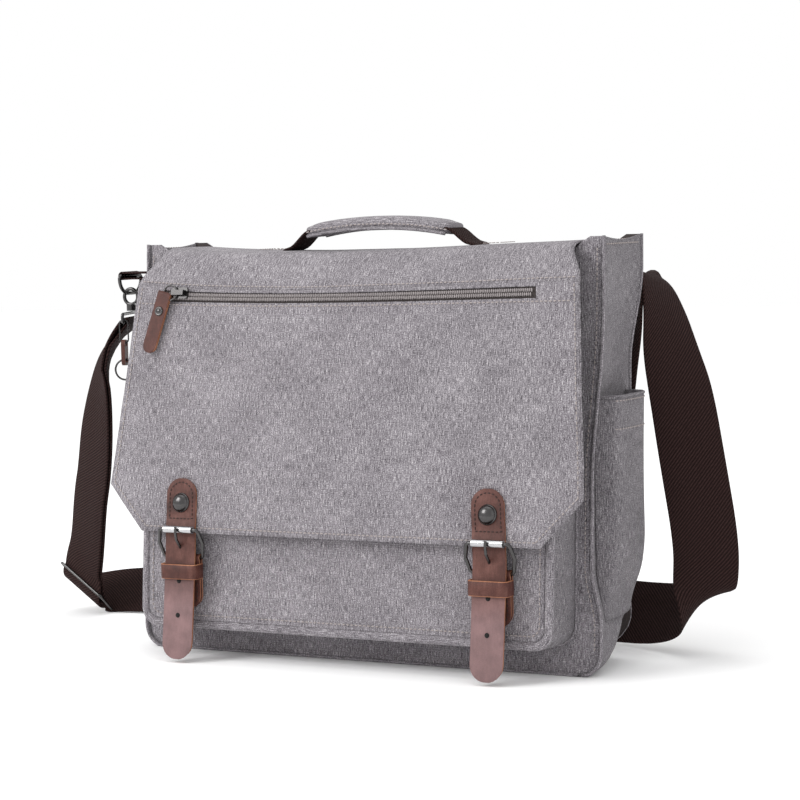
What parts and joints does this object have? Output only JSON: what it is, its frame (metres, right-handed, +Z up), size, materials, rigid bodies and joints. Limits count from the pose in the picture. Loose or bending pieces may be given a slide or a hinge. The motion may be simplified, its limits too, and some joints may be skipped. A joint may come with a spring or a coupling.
{
  "type": "messenger bag",
  "caption": "Canvas messenger bag with a zipped flap, two buckled belts, front and side pockets, a top handle and a webbing shoulder strap.",
  "frame": {"origin": "on the floor under the middle of the bag's bounding box, the shoulder strap and its hardware left out", "axes": "+Z up, +X along the bag's width to the viewer's right seen from the front, front flap towards -Y"},
  "size_m": [0.6393, 0.2249, 0.3388],
  "materials": {
    "canvas": "heathered cotton and wool canvas with a slubbed weave",
    "canvas_edge": "the same canvas rolled over piping",
    "lining_cloth": "plain nylon lining",
    "board": "stiff base board",
    "divider_cloth": "padded nylon",
    "leather": "waxed reddish brown leather with raw tan edges",
    "webbing": "dark brown ribbed webbing",
    "metal": "dark polished gunmetal",
    "bright_metal": "polished",
    "zip_tape": "woven zip tape",
    "zip_chain": "black coil"
  },
  "bodies": {
    "bag": {"front_panel": "canvas", "back_panel": "canvas", "gusset": "canvas", "lining": "lining_cloth", "base_board": "board", "laptop_divider": "divider_cloth", "pocket_face": "canvas", "pocket_border": "canvas_edge", "pocket_gusset": "canvas", "pocket_piping": "canvas_edge", "snap_sockets": "metal", "side_pocket_left": "canvas", "side_pocket_right": "canvas", "ring_tab": "webbing", "d_ring": "metal", "strap_eye": "metal", "shoulder_strap": "webbing", "strap_end": "webbing", "strap_adjuster": "metal"},
    "flap_top": {"flap_top": "canvas", "flap_top_lining": "lining_cloth", "handle_webbing": "webbing", "handle_grip": "canvas_edge"},
    "flap_front": {"flap_yoke": "canvas", "flap_front": "canvas", "flap_lining": "lining_cloth", "zip_tape": "zip_tape", "zip_chain": "zip_chain", "belt_tab_left": "leather", "belt_tab_right": "leather", "stud_left": "metal", "stud_right": "metal"},
    "zip_slider": {"zip_slider": "metal"},
    "zip_pull": {"zip_pull_ring": "metal", "zip_pull_leather": "leather", "zip_pull_rivet": "metal"},
    "snap_hook": {"snap_hook": "metal"},
    "snap_gate": {"snap_gate": "metal"},
    "key_fob": {"fob_link": "metal", "fob_tag": "leather", "split_ring": "metal"},
    "closure_left": {"belt_left": "leather", "buckle_frame_left": "metal", "anchor_tab_left": "leather", "snap_stud_left": "metal", "keeper_left": "leather"},
    "prong_left": {"prong_left": "metal"},
    "roller_left": {"roller_left": "bright_metal"},
    "closure_right": {"belt_right": "leather", "buckle_frame_right": "metal", "anchor_tab_right": "leather", "snap_stud_right": "metal", "keeper_right": "leather"},
    "prong_right": {"prong_right": "metal"},
    "roller_right": {"roller_right": "bright_metal"}
  },
  "joints": [
    {"name": "flap_open", "type": "hinge", "parent": "bag", "child": "flap_top", "pos_m": [0, 0.0758, 0.32], "axis": [-1, 0, 0], "range_deg": [0, 200]},
    {"name": "flap_fold", "type": "hinge", "parent": "flap_top", "child": "flap_front", "pos_m": [0, 0.0007, 0.3204], "axis": [-1, 0, 0], "range_deg": [0, 80]},
    {"name": "zip_slide", "type": "slide", "parent": "flap_front", "child": "zip_slider", "axis": [1, 0, 0], "range_m": [0, 0.29]},
    {"name": "zip_pull_swing", "type": "hinge", "parent": "zip_slider", "child": "zip_pull", "pos_m": [-0.1555, -0.02921, 0.2865], "axis": [0, -0.9823, 0.1876], "range_deg": [-60, 30]},
    {"name": "closure_swing_left", "type": "hinge", "parent": "flap_front", "child": "closure_left", "pos_m": [-0.134, -0.0616, 0.1055], "axis": [-1, 0, 0], "range_deg": [0, 70]},
    {"name": "prong_swing_left", "type": "hinge", "parent": "closure_left", "child": "prong_left", "pos_m": [-0.134, -0.0598, 0.081], "axis": [1, 0, 0], "range_deg": [0, 12]},
    {"name": "roller_turn_left", "type": "hinge", "parent": "closure_left", "child": "roller_left", "pos_m": [-0.134, -0.06635, 0.1035], "axis": [1, 0, 0], "continuous": true},
    {"name": "closure_swing_right", "type": "hinge", "parent": "flap_front", "child": "closure_right", "pos_m": [0.134, -0.0616, 0.1055], "axis": [-1, 0, 0], "range_deg": [0, 70]},
    {"name": "prong_swing_right", "type": "hinge", "parent": "closure_right", "child": "prong_right", "pos_m": [0.134, -0.0598, 0.081], "axis": [1, 0, 0], "range_deg": [0, 12]},
    {"name": "roller_turn_right", "type": "hinge", "parent": "closure_right", "child": "roller_right", "pos_m": [0.134, -0.06635, 0.1035], "axis": [1, 0, 0], "continuous": true},
    {"name": "hook_turn", "type": "hinge", "parent": "bag", "child": "snap_hook", "pos_m": [-0.237, 0.03, 0.28], "axis": [0, 0, 1], "range_deg": [-15, 15]},
    {"name": "gate_open", "type": "hinge", "parent": "snap_hook", "child": "snap_gate", "pos_m": [-0.23306, 0.03, 0.27636], "axis": [0, -1, 0], "range_deg": [0, 15], "stiffness_Nm_per_rad": 0.002},
    {"name": "fob_swing", "type": "hinge", "parent": "bag", "child": "key_fob", "pos_m": [-0.2279, 0.005, 0.2611], "axis": [0.342, -0.9397, 0], "range_deg": [-25, 25]}
  ],
  "couplings": [
    {"joint": "flap_fold", "follows": "flap_open", "ratio": 0.4}
  ]
}
